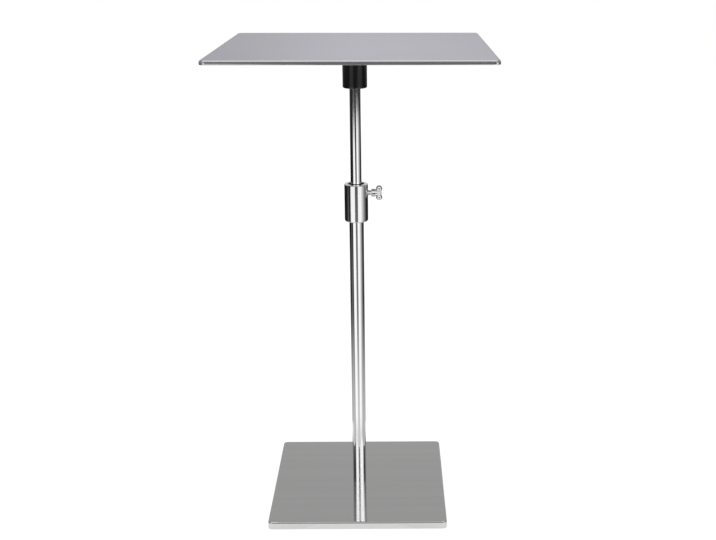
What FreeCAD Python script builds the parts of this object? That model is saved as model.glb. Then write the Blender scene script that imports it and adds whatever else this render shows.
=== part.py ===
import FreeCAD, Part
import os
import Sketcher

# A telescoping pedestal table: a weighted square base, a two-stage tube column
# with a clamp collar and thumb screw, and a square top folded from sheet.
# Millimetres, +Z up, origin on the floor under the middle of the column.

# Driving sizes
SIZES = {
    "base_side": 200.0,            # square base, over the rim
    "base_corner": 5.0,            # plan radius of the base's corners
    "base_sheet": 1.5,             # sheet of the base shell
    "base_bend": 1.8,              # outer radius where the shell's rim folds down
    "base_rim_gap": 0.6,           # air under the shell's rim
    "ballast_thick": 6.5,          # weight plate inside the shell
    "ballast_gap": 0.3,            # room between weight plate and rim
    "foot_od": 18.0,               # stick-on foot discs
    "foot_thick": 1.0,
    "foot_edge": 0.3,              # bevel of a foot disc's lower edge
    "foot_inset": 22.0,            # foot centre in from the base's sides
    "bolt_thread": 8.0,            # countersunk bolt that holds the column
    "bolt_head_od": 15.0,
    "bolt_head_rim": 0.4,          # straight edge under the bolt's cone
    "bolt_length": 24.0,           # whole bolt, head included
    "bolt_key": 5.0,               # hexagon socket across flats
    "bolt_key_depth": 2.6,
    "foot_plug_length": 25.0,      # threaded slug in the lower tube's foot
    "plug_bevel": 0.8,             # bevel at the slugs' inner ends
    "lower_tube_od": 16.0,
    "lower_tube_wall": 1.2,
    "lower_tube_length": 343.0,
    "collar_od": 26.0,
    "collar_length": 42.0,
    "collar_round": 1.8,           # rounded lower edge of the collar
    "collar_bevel": 0.6,           # bevelled upper edge of the collar
    "tube_seat": 22.0,             # how far the lower tube enters the collar
    "bush_od": 18.0,               # guide bush in the collar's mouth
    "bush_drop": 1.2,              # bush's upper end below the collar's
    "bush_mouth": 0.7,             # lead-in at the bush's mouth
    "grub_thread": 4.0,            # set screw that pins the collar to the tube
    "grub_sink": 0.5,              # set screw's end below the collar's skin
    "grub_key": 2.0,
    "grub_key_depth": 1.5,
    "grub_level": 11.0,            # set screw above the collar's lower end
    "screw_thread": 6.0,           # thumb screw
    "screw_drop": 10.3,            # thumb screw below the collar's upper end
    "screw_standoff": 3.6,         # bare shank between collar and shoulder
    "shoulder_od": 12.4,
    "shoulder_length": 4.8,
    "shoulder_round": 0.9,
    "boss_od": 7.6,                # middle of the head, at the shoulder
    "boss_end_od": 5.6,
    "boss_length": 5.6,
    "lobe_radius": 3.5,            # bulging lobes of the head
    "lobe_bulge": 3.1,             # lobe's reach to each side of the web
    "lobe_offset": 4.85,           # lobe centre off the screw's axis
    "lobe_level": 3.9,             # lobe centre beyond the shoulder
    "web_inset": 0.4,              # web's ends inside the lobes
    "waist_radius": 16.0,          # hollow between the lobes
    "web_thick": 2.8,
    "web_round": 1.1,
    "shoe_od": 5.2,                # brass shoe on the screw's tip
    "shoe_thick": 1.5,
    "shoe_wrap": 0.4,              # how far the shoe's horns reach round the tube
    "shoe_stem_od": 2.4,
    "shoe_stem_length": 3.0,
    "upper_tube_od": 12.0,
    "upper_tube_wall": 1.0,
    "upper_tube_length": 260.0,
    "rest_rise": 105.2,            # collar to socket with the table as shown
    "ring_length": 12.0,           # guide ring at the upper tube's foot
    "guide_flange": 3.0,           # flange that keeps the guide ring on
    "guide_depth": 14.0,           # guide plug inside the tube
    "nut_length": 18.0,            # threaded slug in the upper tube's head
    "socket_od": 26.4,
    "socket_height": 42.2,
    "socket_seat": 20.0,           # how far the upper tube enters the socket
    "socket_round": 1.5,
    "stud_thread": 6.0,            # stud welded to the mounting plate
    "stud_length": 36.0,
    "plate_side": 120.0,           # mounting plate under the top
    "plate_corner": 10.0,
    "plate_thick": 2.0,
    "top_side": 284.0,             # square table top, over the rim
    "top_corner": 6.0,
    "top_sheet": 0.8,
    "top_bend": 2.2,               # outer radius where the top folds down
    "rim_height": 4.5,
    "lip_width": 8.0,              # inward return of the rim
    "lip_bend": 0.8,               # outer radius where the rim folds in
    "fit_gap": 0.05,               # all round, pieces that are fixed together
    "slide_gap": 0.08,             # all round, pieces that slide or turn
    "hole_gap": 0.3,               # all round, clearance holes
    "end_gap": 0.15,               # end to end, pieces that turn on each other
}

# Heights and radii that several pieces share, worked out from the sheet
BASE_TOP = "(sizes.foot_thick + sizes.ballast_thick + sizes.base_sheet)"
COLLAR_BOTTOM = f"({BASE_TOP} + sizes.lower_tube_length - sizes.tube_seat)"
COLLAR_TOP = f"({COLLAR_BOTTOM} + sizes.collar_length)"
SCREW_LEVEL = f"({COLLAR_TOP} - sizes.screw_drop)"
SOCKET_BOTTOM = f"({COLLAR_TOP} + sizes.rest_rise)"
UPPER_TUBE_TOP = f"({SOCKET_BOTTOM} + sizes.socket_seat)"
UPPER_TUBE_BOTTOM = f"({UPPER_TUBE_TOP} - sizes.upper_tube_length)"
PLATE_BOTTOM = f"({SOCKET_BOTTOM} + sizes.socket_height)"
TOP_UNDERSIDE = f"({PLATE_BOTTOM} + sizes.plate_thick)"
TABLE_FACE = f"({TOP_UNDERSIDE} + sizes.top_sheet)"
RIM_BOTTOM = f"({TABLE_FACE} - sizes.rim_height)"
LOWER_BORE = "(sizes.lower_tube_od / 2 - sizes.lower_tube_wall)"
UPPER_BORE = "(sizes.upper_tube_od / 2 - sizes.upper_tube_wall)"
SHOE_FACE = "(sizes.upper_tube_od / 2 + sizes.slide_gap)"
SHOE_BACK = f"({SHOE_FACE} + sizes.shoe_thick)"
SCREW_TIP = f"({SHOE_BACK} + sizes.end_gap)"
SHOULDER_FACE = "(sizes.collar_od / 2 + sizes.screw_standoff)"
HEAD_FOOT = f"({SHOULDER_FACE} + sizes.shoulder_length)"

doc = FreeCAD.newDocument("pedestal_table")
sheet = doc.addObject("Spreadsheet::Sheet", "sizes")
for row, (alias, size) in enumerate(SIZES.items(), start=1):
    sheet.set(f"A{row}", alias)
    sheet.set(f"B{row}", str(size))
    sheet.setAlias(f"B{row}", alias)
doc.recompute()

SAME = 1e-4
ALONG_X = FreeCAD.Rotation(FreeCAD.Vector(0, 1, 0), 90)
ALONG_Y = FreeCAD.Rotation(FreeCAD.Vector(1, 0, 0), -90)
ROOT = (-1, 1)


def measure(expression):
    """Present value of an expression of sheet sizes."""
    return float(sheet.evalExpression(expression))


def new_body(name, lift="0", turn=FreeCAD.Rotation()):
    """A sub-part of its own, with its foot at height lift."""
    body = doc.addObject("PartDesign::Body", name)
    body.Placement = FreeCAD.Placement(FreeCAD.Vector(), turn)
    body.setExpression("Placement.Base.z", lift)
    return body


def new_sketch(body, name, role="XY_Plane", lift="0"):
    """A sketch on one of the body's origin planes, raised by lift."""
    sketch = body.newObject("Sketcher::SketchObject", f"{body.Name}_{name}")
    plane = next(feature for feature in body.Origin.OriginFeatures if feature.Role == role)
    sketch.AttachmentSupport = (plane, [""])
    sketch.MapMode = "FlatFace"
    sketch.setExpression("AttachmentOffset.Base.z", lift)
    return sketch


def bind(sketch, kind, geometry, expression):
    """A sketch dimension that follows an expression of sheet sizes."""
    index = sketch.addConstraint(Sketcher.Constraint(kind, *geometry, measure(expression)))
    sketch.setExpression(f"Constraints[{index}]", expression)


def sketch_axis(name):
    """Index of the sketch's own across or up axis."""
    return -1 - ("across", "up").index(name)


def place_point(sketch, point, across, up):
    """Hold a sketch point at a distance across and up from the root."""
    if across == "0":
        sketch.addConstraint(Sketcher.Constraint("PointOnObject", *point, sketch_axis("up")))
    else:
        bind(sketch, "DistanceX", (*ROOT, *point), across)
    if up == "0":
        sketch.addConstraint(Sketcher.Constraint("PointOnObject", *point, sketch_axis("across")))
    else:
        bind(sketch, "DistanceY", (*ROOT, *point), up)


def draw_profile(sketch, corners):
    """A closed outline of straight sides through corner expressions."""
    points = [FreeCAD.Vector(measure(across), measure(up), 0) for across, up in corners]
    for start, end in zip(points, points[1:] + points[:1]):
        sketch.addGeometry(Part.LineSegment(start, end))
    for side, (across, up) in enumerate(corners):
        following = (side + 1) % len(corners)
        sketch.addConstraint(Sketcher.Constraint("Coincident", side, 2, following, 1))
        place_point(sketch, (side, 1), across, up)


def draw_circle(sketch, diameter, up="0"):
    """A circle on the sketch's upright axis."""
    centre = FreeCAD.Vector(0, measure(up), 0)
    circle = sketch.addGeometry(Part.Circle(centre, FreeCAD.Vector(0, 0, 1), measure(diameter) / 2))
    place_point(sketch, (circle, 3), "0", up)
    bind(sketch, "Diameter", (circle,), diameter)


def draw_arc(sketch, centre, radius, start, end):
    """A loose arc, counter-clockwise between two points on it."""
    spokes = [point - centre for point in (start, end)]
    full = Part.Circle(centre, FreeCAD.Vector(0, 0, 1), radius)
    angles = [full.parameter(centre + spoke) for spoke in spokes]
    return sketch.addGeometry(Part.ArcOfCircle(full, *angles))


def draw_rounded_square(sketch, side, radius):
    """A square about the root with equal round corners."""
    half = measure(side) / 2
    flat = half - measure(radius)
    quarter = FreeCAD.Rotation(FreeCAD.Vector(0, 0, 1), 90)
    start = FreeCAD.Vector(-flat, -half, 0)
    end = FreeCAD.Vector(flat, -half, 0)
    centre = FreeCAD.Vector(flat, -flat, 0)
    lines = []
    arcs = []
    for _ in range(4):
        lines.append(sketch.addGeometry(Part.LineSegment(start, end)))
        start = quarter.multVec(start)
        arcs.append(draw_arc(sketch, centre, half - flat, end, start))
        end = quarter.multVec(end)
        centre = quarter.multVec(centre)
    for corner in range(4):
        following = lines[(corner + 1) % 4]
        sketch.addConstraint(Sketcher.Constraint("Tangent", lines[corner], 2, arcs[corner], 1))
        sketch.addConstraint(Sketcher.Constraint("Tangent", arcs[corner], 2, following, 1))
        level = "Horizontal" if corner % 2 == 0 else "Vertical"
        sketch.addConstraint(Sketcher.Constraint(level, lines[corner]))
    for arc in arcs[1:]:
        sketch.addConstraint(Sketcher.Constraint("Equal", arcs[0], arc))
    sketch.addConstraint(Sketcher.Constraint("Symmetric", lines[0], 1, lines[2], 1, *ROOT))
    bind(sketch, "Radius", (arcs[0],), radius)
    bind(sketch, "DistanceX", (lines[3], 1, lines[1], 1), side)
    bind(sketch, "DistanceY", (lines[0], 1, lines[2], 1), side)


def draw_hexagon(sketch, across_flats):
    """A regular hexagon about the root, standing on a corner."""
    radius = measure(across_flats) / 3 ** 0.5
    sixth = FreeCAD.Rotation(FreeCAD.Vector(0, 0, 1), 60)
    start = FreeCAD.Vector(0, radius, 0)
    for _ in range(6):
        end = sixth.multVec(start)
        sketch.addGeometry(Part.LineSegment(start, end))
        start = end
    ring = sketch.addGeometry(Part.Circle(FreeCAD.Vector(), FreeCAD.Vector(0, 0, 1), radius), True)
    sketch.addConstraint(Sketcher.Constraint("Coincident", ring, 3, *ROOT))
    for side in range(6):
        sketch.addConstraint(Sketcher.Constraint("Coincident", side, 2, (side + 1) % 6, 1))
        sketch.addConstraint(Sketcher.Constraint("PointOnObject", side, 1, ring))
    for side in range(1, 6):
        sketch.addConstraint(Sketcher.Constraint("Equal", 0, side))
    sketch.addConstraint(Sketcher.Constraint("PointOnObject", 0, 1, sketch_axis("up")))
    bind(sketch, "Diameter", (ring,), f"{across_flats} * 2 / sqrt(3)")


def pad(body, sketch, length, sides="One side"):
    """Material from a sketch, upward or to both sides of its plane."""
    feature = body.newObject("PartDesign::Pad", f"{sketch.Name}_pad")
    feature.Profile = sketch
    feature.SideType = sides
    feature.setExpression("Length", length)
    doc.recompute()


def pocket(body, sketch, depth, sides="One side", against=True):
    """A cut from a sketch, against its normal or along it."""
    before = body.Tip.Shape.Volume
    feature = body.newObject("PartDesign::Pocket", f"{sketch.Name}_pocket")
    feature.Profile = sketch
    feature.SideType = sides
    feature.Reversed = not against
    feature.setExpression("Length", depth)
    doc.recompute()
    if feature.Shape.Volume > before - SAME:
        raise RuntimeError(f"{feature.Name} cuts nothing")


def turn_profile(body, corners, kind="Revolution", name="profile"):
    """A profile of radius and height corners, turned about the body's axis."""
    sketch = new_sketch(body, name, "XZ_Plane")
    draw_profile(sketch, corners)
    feature = body.newObject(f"PartDesign::{kind}", f"{sketch.Name}_turn")
    feature.Profile = sketch
    feature.ReferenceAxis = (sketch, ["V_Axis"])
    doc.recompute()


def ease(body, size, chosen, kind="Fillet"):
    """Round or bevel the chosen edges of the body so far."""
    base = body.Tip
    edges = [f"Edge{number}" for number, edge in enumerate(base.Shape.Edges, start=1) if chosen(edge)]
    feature = body.newObject(f"PartDesign::{kind}", f"{body.Name}_{kind.lower()}")
    feature.Base = (base, edges)
    feature.setExpression("Radius" if kind == "Fillet" else "Size", size)
    doc.recompute()


def level_edge(height):
    """Picks edges that lie flat at one height."""
    level = measure(height)
    return lambda edge: max(abs(edge.BoundBox.ZMin - level), abs(edge.BoundBox.ZMax - level)) < SAME


def ring_edge(height, diameter):
    """Picks the full circle of one diameter at one height."""
    flat = level_edge(height)
    radius = measure(diameter) / 2
    return lambda edge: flat(edge) and abs(edge.BoundBox.XMax - radius) < SAME


# Base shell: a shallow pan of sheet, open below, with a hole for the bolt
shell_height = f"{BASE_TOP} - sizes.base_rim_gap"
base_shell = new_body("base_shell", "sizes.base_rim_gap")
outline = new_sketch(base_shell, "outline")
draw_rounded_square(outline, "sizes.base_side", "sizes.base_corner")
pad(base_shell, outline, shell_height)
ease(base_shell, "sizes.base_bend", level_edge(shell_height))
hollow = new_sketch(base_shell, "hollow")
draw_rounded_square(hollow, "sizes.base_side - 2 * sizes.base_sheet", "sizes.base_corner - sizes.base_sheet")
pocket(base_shell, hollow, f"{shell_height} - sizes.base_sheet", against=False)
bolt_hole = new_sketch(base_shell, "bolt_hole")
draw_circle(bolt_hole, "sizes.bolt_thread + 2 * sizes.hole_gap")
pocket(base_shell, bolt_hole, shell_height, against=False)

# Ballast plate: a steel slab that fills the shell, countersunk for the bolt
ballast_plate = new_body("ballast_plate", "sizes.foot_thick")
outline = new_sketch(ballast_plate, "outline")
wall_room = "(sizes.base_sheet + sizes.ballast_gap)"
ballast_side = f"sizes.base_side - 2 * {wall_room}"
draw_rounded_square(outline, ballast_side, f"sizes.base_corner - {wall_room}")
pad(ballast_plate, outline, "sizes.ballast_thick")
sink_radius = "(sizes.bolt_head_od / 2 + sizes.fit_gap)"
hole_radius = "(sizes.bolt_thread / 2 + sizes.hole_gap)"
above_plate = f"sizes.ballast_thick + {sink_radius}"
countersink = [
    ("0", "0"),
    (sink_radius, "0"),
    (sink_radius, "sizes.bolt_head_rim"),
    (hole_radius, f"sizes.bolt_head_rim + {sink_radius} - {hole_radius}"),
    (hole_radius, above_plate),
    ("0", above_plate),
]
turn_profile(ballast_plate, countersink, "Groove", "countersink")

# Feet: four discs stuck under the ballast plate near its corners
foot_profile = [
    ("0", "0"),
    ("sizes.foot_od / 2 - sizes.foot_edge", "0"),
    ("sizes.foot_od / 2", "sizes.foot_edge"),
    ("sizes.foot_od / 2", "sizes.foot_thick"),
    ("0", "sizes.foot_thick"),
]
foot_reach = "(sizes.base_side / 2 - sizes.foot_inset)"
feet = []
for depth_side, depth_sign in (("front", "-"), ("back", "")):
    for width_side, width_sign in (("left", "-"), ("right", "")):
        foot = new_body(f"foot_{depth_side}_{width_side}")
        turn_profile(foot, foot_profile)
        foot.setExpression("Placement.Base.x", width_sign + foot_reach)
        foot.setExpression("Placement.Base.y", depth_sign + foot_reach)
        feet.append(foot)

# Column bolt: countersunk, driven from below with a hexagon key
bolt_radius = "sizes.bolt_thread / 2"
column_bolt = new_body("column_bolt", "sizes.foot_thick")
bolt_profile = [
    ("0", "0"),
    ("sizes.bolt_head_od / 2", "0"),
    ("sizes.bolt_head_od / 2", "sizes.bolt_head_rim"),
    (bolt_radius, f"sizes.bolt_head_rim + sizes.bolt_head_od / 2 - {bolt_radius}"),
    (bolt_radius, "sizes.bolt_length"),
    ("0", "sizes.bolt_length"),
]
turn_profile(column_bolt, bolt_profile)
key = new_sketch(column_bolt, "key")
draw_hexagon(key, "sizes.bolt_key")
pocket(column_bolt, key, "sizes.bolt_key_depth", against=False)

# Foot plug: a threaded slug fixed in the lower tube, flush with its foot
plug_radius = f"({LOWER_BORE} - sizes.fit_gap)"
plug_bore = f"({bolt_radius} + sizes.fit_gap)"
foot_plug = new_body("foot_plug", BASE_TOP)
foot_plug_profile = [
    (plug_bore, "0"),
    (plug_radius, "0"),
    (plug_radius, "sizes.foot_plug_length - sizes.plug_bevel"),
    (f"{plug_radius} - sizes.plug_bevel", "sizes.foot_plug_length"),
    (plug_bore, "sizes.foot_plug_length"),
]
turn_profile(foot_plug, foot_plug_profile)

# Lower tube: stands on the base shell and ends inside the collar
lower_tube = new_body("lower_tube", BASE_TOP)
section = new_sketch(lower_tube, "section")
draw_circle(section, "sizes.lower_tube_od")
draw_circle(section, f"2 * {LOWER_BORE}")
pad(lower_tube, section, "sizes.lower_tube_length")

# Clamp collar: turned, seats the tube below and the bush above
collar_radius = "sizes.collar_od / 2"
seat_radius = "(sizes.lower_tube_od / 2 + sizes.fit_gap)"
bush_bore = "(sizes.bush_od / 2 + sizes.fit_gap)"
clamp_collar = new_body("clamp_collar", COLLAR_BOTTOM)
collar_profile = [
    (seat_radius, "0"),
    (collar_radius, "0"),
    (collar_radius, "sizes.collar_length"),
    (bush_bore, "sizes.collar_length"),
    (bush_bore, "sizes.tube_seat"),
    (seat_radius, "sizes.tube_seat"),
]
turn_profile(clamp_collar, collar_profile)
ease(clamp_collar, "sizes.collar_round", ring_edge("0", "sizes.collar_od"))
ease(clamp_collar, "sizes.collar_bevel", ring_edge("sizes.collar_length", "sizes.collar_od"), "Chamfer")
screw_hole = new_sketch(clamp_collar, "screw_hole", "YZ_Plane")
screw_height = "sizes.collar_length - sizes.screw_drop"
draw_circle(screw_hole, "sizes.screw_thread + 2 * sizes.slide_gap", screw_height)
pocket(clamp_collar, screw_hole, "sizes.collar_od", against=False)
grub_hole = new_sketch(clamp_collar, "grub_hole", "XZ_Plane")
draw_circle(grub_hole, "sizes.grub_thread + 2 * sizes.fit_gap", "sizes.grub_level")
pocket(clamp_collar, grub_hole, "sizes.collar_od")

# Collar grub screw: at the back, pins the collar to the lower tube
collar_grub = new_body("collar_grub", f"{COLLAR_BOTTOM} + sizes.grub_level", ALONG_Y)
grub_end = f"({collar_radius} - sizes.grub_sink)"
grub_profile = [
    ("0", seat_radius),
    ("sizes.grub_thread / 2", seat_radius),
    ("sizes.grub_thread / 2", grub_end),
    ("0", grub_end),
]
turn_profile(collar_grub, grub_profile)
key = new_sketch(collar_grub, "key", lift=grub_end)
draw_hexagon(key, "sizes.grub_key")
pocket(collar_grub, key, "sizes.grub_key_depth")

# Collar bush: guides the upper tube and stops its guide ring from below
guide_bore = "(sizes.upper_tube_od / 2 + sizes.slide_gap)"
bush_length = "(sizes.collar_length - sizes.tube_seat - sizes.bush_drop)"
collar_bush = new_body("collar_bush", f"{COLLAR_BOTTOM} + sizes.tube_seat")
bush_profile = [
    (guide_bore, "0"),
    ("sizes.bush_od / 2", "0"),
    ("sizes.bush_od / 2", bush_length),
    (f"{guide_bore} + sizes.bush_mouth", bush_length),
    (guide_bore, f"{bush_length} - sizes.bush_mouth"),
]
turn_profile(collar_bush, bush_profile)
screw_hole = new_sketch(collar_bush, "screw_hole", "YZ_Plane")
draw_circle(screw_hole, "sizes.screw_thread + 2 * sizes.hole_gap", f"{screw_height} - sizes.tube_seat")
pocket(collar_bush, screw_hole, "sizes.bush_od", against=False)

# Clamp shoe: hollowed to the upper tube, its stem turns in the screw's tip
clamp_shoe = new_body("clamp_shoe", SCREW_LEVEL, ALONG_X)
shoe_start = "sizes.upper_tube_od / 2 - sizes.shoe_wrap"
stem_end = f"{SHOE_BACK} + sizes.shoe_stem_length"
shoe_profile = [
    ("0", shoe_start),
    ("sizes.shoe_od / 2", shoe_start),
    ("sizes.shoe_od / 2", SHOE_BACK),
    ("sizes.shoe_stem_od / 2", SHOE_BACK),
    ("sizes.shoe_stem_od / 2", stem_end),
    ("0", stem_end),
]
turn_profile(clamp_shoe, shoe_profile)
tube_hollow = new_sketch(clamp_shoe, "tube_hollow", "YZ_Plane")
draw_circle(tube_hollow, f"2 * {SHOE_FACE}")
pocket(clamp_shoe, tube_hollow, "2 * sizes.shoe_od", "Symmetric")

# Thumb screw: a waisted web with two bulging lobes on a shouldered shank
thumb_screw = new_body("thumb_screw", SCREW_LEVEL, ALONG_X)
web = new_sketch(thumb_screw, "web", "XZ_Plane")
lobe_height = f"({HEAD_FOOT} + sizes.lobe_level)"
end_radius = "(sizes.lobe_radius - sizes.web_inset)"
end_reach = measure(f"{end_radius} + sizes.waist_radius")
waist_rise = (end_reach ** 2 - measure("sizes.lobe_offset") ** 2) ** 0.5
end_share = measure(end_radius) / end_reach
middle = FreeCAD.Vector(0, measure(lobe_height), 0)
end_centres = [FreeCAD.Vector(side * measure("sizes.lobe_offset"), 0, 0) for side in (-1, 1)]
waist_centres = [FreeCAD.Vector(0, side * waist_rise, 0) for side in (-1, 1)]
meets = {
    (across, up): middle + end_centres[across] * (1 - end_share) + waist_centres[up] * end_share
    for across in (0, 1) for up in (0, 1)
}
end_size = measure(end_radius)
waist_size = measure("sizes.waist_radius")
left = draw_arc(web, middle + end_centres[0], end_size, meets[0, 1], meets[0, 0])
right = draw_arc(web, middle + end_centres[1], end_size, meets[1, 0], meets[1, 1])
outer = draw_arc(web, middle + waist_centres[1], waist_size, meets[0, 1], meets[1, 1])
inner = draw_arc(web, middle + waist_centres[0], waist_size, meets[1, 0], meets[0, 0])
for first, second in (((left, 1), (outer, 1)), ((outer, 2), (right, 2)),
                      ((right, 1), (inner, 1)), ((inner, 2), (left, 2))):
    web.addConstraint(Sketcher.Constraint("Tangent", *first, *second))
web.addConstraint(Sketcher.Constraint("Equal", left, right))
web.addConstraint(Sketcher.Constraint("Equal", outer, inner))
web.addConstraint(Sketcher.Constraint("Symmetric", left, 3, right, 3, sketch_axis("up")))
bind(web, "Radius", (right,), end_radius)
bind(web, "Radius", (outer,), "sizes.waist_radius")
place_point(web, (right, 3), "sizes.lobe_offset", lobe_height)
pad(thumb_screw, web, "sizes.web_thick", "Symmetric")
ease(thumb_screw, "sizes.web_round", lambda edge: abs(edge.BoundBox.YLength) < SAME)
lobe = new_sketch(thumb_screw, "lobe", lift=lobe_height)
bulge = FreeCAD.Vector(0, measure("sizes.lobe_bulge"), 0)
lobe_axis = FreeCAD.Vector(measure("sizes.lobe_offset"), 0, 0)
lobe_flat = "(sizes.lobe_radius - sizes.lobe_bulge)"
lobe_centre = lobe_axis + FreeCAD.Vector(measure(lobe_flat), 0, 0)
spine = lobe.addGeometry(Part.LineSegment(lobe_axis - bulge, lobe_axis + bulge))
back_flat = lobe.addGeometry(Part.LineSegment(lobe_axis + bulge, lobe_centre + bulge))
front_flat = lobe.addGeometry(Part.LineSegment(lobe_centre - bulge, lobe_axis - bulge))
round_edge = draw_arc(lobe, lobe_centre, measure("sizes.lobe_bulge"), lobe_centre - bulge, lobe_centre + bulge)
lobe.addConstraint(Sketcher.Constraint("Coincident", spine, 2, back_flat, 1))
lobe.addConstraint(Sketcher.Constraint("Coincident", front_flat, 2, spine, 1))
lobe.addConstraint(Sketcher.Constraint("Tangent", back_flat, 2, round_edge, 2))
lobe.addConstraint(Sketcher.Constraint("Tangent", round_edge, 1, front_flat, 1))
lobe.addConstraint(Sketcher.Constraint("Vertical", spine))
lobe.addConstraint(Sketcher.Constraint("Horizontal", back_flat))
lobe.addConstraint(Sketcher.Constraint("Horizontal", front_flat))
lobe.addConstraint(Sketcher.Constraint("PointOnObject", round_edge, 3, sketch_axis("across")))
bind(lobe, "Radius", (round_edge,), "sizes.lobe_bulge")
bind(lobe, "DistanceX", (*ROOT, spine, 1), "sizes.lobe_offset")
bind(lobe, "DistanceX", (spine, 1, round_edge, 3), lobe_flat)
lobe_turn = thumb_screw.newObject("PartDesign::Revolution", "thumb_screw_lobe_turn")
lobe_turn.Profile = lobe
lobe_turn.ReferenceAxis = (lobe, ["Edge1"])
doc.recompute()
lobe_pair = thumb_screw.newObject("PartDesign::Mirrored", "thumb_screw_lobe_pair")
lobe_pair.Originals = [lobe_turn]
side_plane = next(feature for feature in thumb_screw.Origin.OriginFeatures if feature.Role == "YZ_Plane")
lobe_pair.MirrorPlane = (side_plane, [""])
thumb_screw.Tip = lobe_pair
doc.recompute()
stem_room = "(sizes.shoe_stem_od / 2 + sizes.slide_gap)"
stem_stop = f"{SCREW_TIP} + sizes.shoe_stem_length"
screw_profile = [
    (stem_room, SCREW_TIP),
    ("sizes.screw_thread / 2", SCREW_TIP),
    ("sizes.screw_thread / 2", SHOULDER_FACE),
    ("sizes.shoulder_od / 2", SHOULDER_FACE),
    ("sizes.shoulder_od / 2", HEAD_FOOT),
    ("sizes.boss_od / 2", HEAD_FOOT),
    ("sizes.boss_end_od / 2", f"{HEAD_FOOT} + sizes.boss_length"),
    ("0", f"{HEAD_FOOT} + sizes.boss_length"),
    ("0", stem_stop),
    (stem_room, stem_stop),
]
turn_profile(thumb_screw, screw_profile)
ease(thumb_screw, "sizes.shoulder_round", ring_edge(SHOULDER_FACE, "sizes.shoulder_od"))

# Upper tube: slides in the collar's bush and turns in it
upper_tube = new_body("upper_tube", UPPER_TUBE_BOTTOM)
section = new_sketch(upper_tube, "section")
draw_circle(section, "sizes.upper_tube_od")
draw_circle(section, f"2 * {UPPER_BORE}")
pad(upper_tube, section, "sizes.upper_tube_length")

# Guide plug: fixed in the upper tube's foot, its flange keeps the ring on
neck_radius = f"({UPPER_BORE} - sizes.fit_gap)"
ring_room = "(sizes.ring_length + 2 * sizes.end_gap)"
guide_top = f"sizes.guide_flange + {ring_room} + sizes.guide_depth"
guide_plug = new_body("guide_plug", f"{UPPER_TUBE_BOTTOM} - {ring_room} - sizes.guide_flange")
guide_profile = [
    ("0", "0"),
    ("sizes.upper_tube_od / 2", "0"),
    ("sizes.upper_tube_od / 2", "sizes.guide_flange"),
    (neck_radius, "sizes.guide_flange"),
    (neck_radius, f"{guide_top} - sizes.plug_bevel"),
    (f"{neck_radius} - sizes.plug_bevel", guide_top),
    ("0", guide_top),
]
turn_profile(guide_plug, guide_profile)

# Guide ring: runs in the lower tube and lets the upper tube turn
guide_ring = new_body("guide_ring", f"{UPPER_TUBE_BOTTOM} - sizes.end_gap - sizes.ring_length")
section = new_sketch(guide_ring, "section")
draw_circle(section, f"2 * ({LOWER_BORE} - sizes.slide_gap)")
draw_circle(section, f"2 * ({neck_radius} + sizes.slide_gap)")
pad(guide_ring, section, "sizes.ring_length")

# Tube nut: a threaded slug fixed in the upper tube's head
stud_radius = "sizes.stud_thread / 2"
nut_radius = f"({UPPER_BORE} - sizes.fit_gap)"
nut_bore = f"({stud_radius} + sizes.fit_gap)"
tube_nut = new_body("tube_nut", f"{UPPER_TUBE_TOP} - sizes.nut_length")
nut_profile = [
    (nut_bore, "0"),
    (f"{nut_radius} - sizes.plug_bevel", "0"),
    (nut_radius, "sizes.plug_bevel"),
    (nut_radius, "sizes.nut_length"),
    (nut_bore, "sizes.nut_length"),
]
turn_profile(tube_nut, nut_profile)

# Top socket: a moulded cup over the upper tube's head, under the top
cup_radius = "(sizes.upper_tube_od / 2 + sizes.fit_gap)"
stud_hole = f"({stud_radius} + sizes.hole_gap)"
top_socket = new_body("top_socket", SOCKET_BOTTOM)
socket_profile = [
    (cup_radius, "0"),
    ("sizes.socket_od / 2", "0"),
    ("sizes.socket_od / 2", "sizes.socket_height"),
    (stud_hole, "sizes.socket_height"),
    (stud_hole, "sizes.socket_seat"),
    (cup_radius, "sizes.socket_seat"),
]
turn_profile(top_socket, socket_profile)
ease(top_socket, "sizes.socket_round", ring_edge("0", "sizes.socket_od"))

# Top stud: welded in the mounting plate, screwed down into the tube nut
top_stud = new_body("top_stud", f"{TOP_UNDERSIDE} - sizes.stud_length")
stud_profile = [
    ("0", "0"),
    (f"{stud_radius} - sizes.plug_bevel", "0"),
    (stud_radius, "sizes.plug_bevel"),
    (stud_radius, "sizes.stud_length"),
    ("0", "sizes.stud_length"),
]
turn_profile(top_stud, stud_profile)

# Mounting plate: stiffens the middle of the top
mounting_plate = new_body("mounting_plate", PLATE_BOTTOM)
outline = new_sketch(mounting_plate, "outline")
draw_rounded_square(outline, "sizes.plate_side", "sizes.plate_corner")
draw_circle(outline, f"2 * {nut_bore}")
pad(mounting_plate, outline, "sizes.plate_thick")

# Table top: sheet folded down all round and returned inward as a safe lip
table_top = new_body("table_top", RIM_BOTTOM)
outline = new_sketch(table_top, "outline")
draw_rounded_square(outline, "sizes.top_side", "sizes.top_corner")
pad(table_top, outline, "sizes.rim_height")
ease(table_top, "sizes.top_bend", level_edge("sizes.rim_height"))
ease(table_top, "sizes.lip_bend", level_edge("0"))
hollow = new_sketch(table_top, "hollow", lift="sizes.top_sheet")
draw_rounded_square(hollow, "sizes.top_side - 2 * sizes.top_sheet", "sizes.top_corner - sizes.top_sheet")
pocket(table_top, hollow, "sizes.rim_height - 2 * sizes.top_sheet", against=False)
mouth = new_sketch(table_top, "mouth")
draw_rounded_square(mouth, "sizes.top_side - 2 * sizes.lip_width", "sizes.top_corner")
pocket(table_top, mouth, "sizes.rim_height - sizes.top_sheet", against=False)

sub_parts = [
    base_shell, ballast_plate, *feet, column_bolt, foot_plug, lower_tube, clamp_collar,
    collar_grub, collar_bush, clamp_shoe, thumb_screw, upper_tube, guide_plug, guide_ring,
    tube_nut, top_socket, top_stud, mounting_plate, table_top,
]

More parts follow.
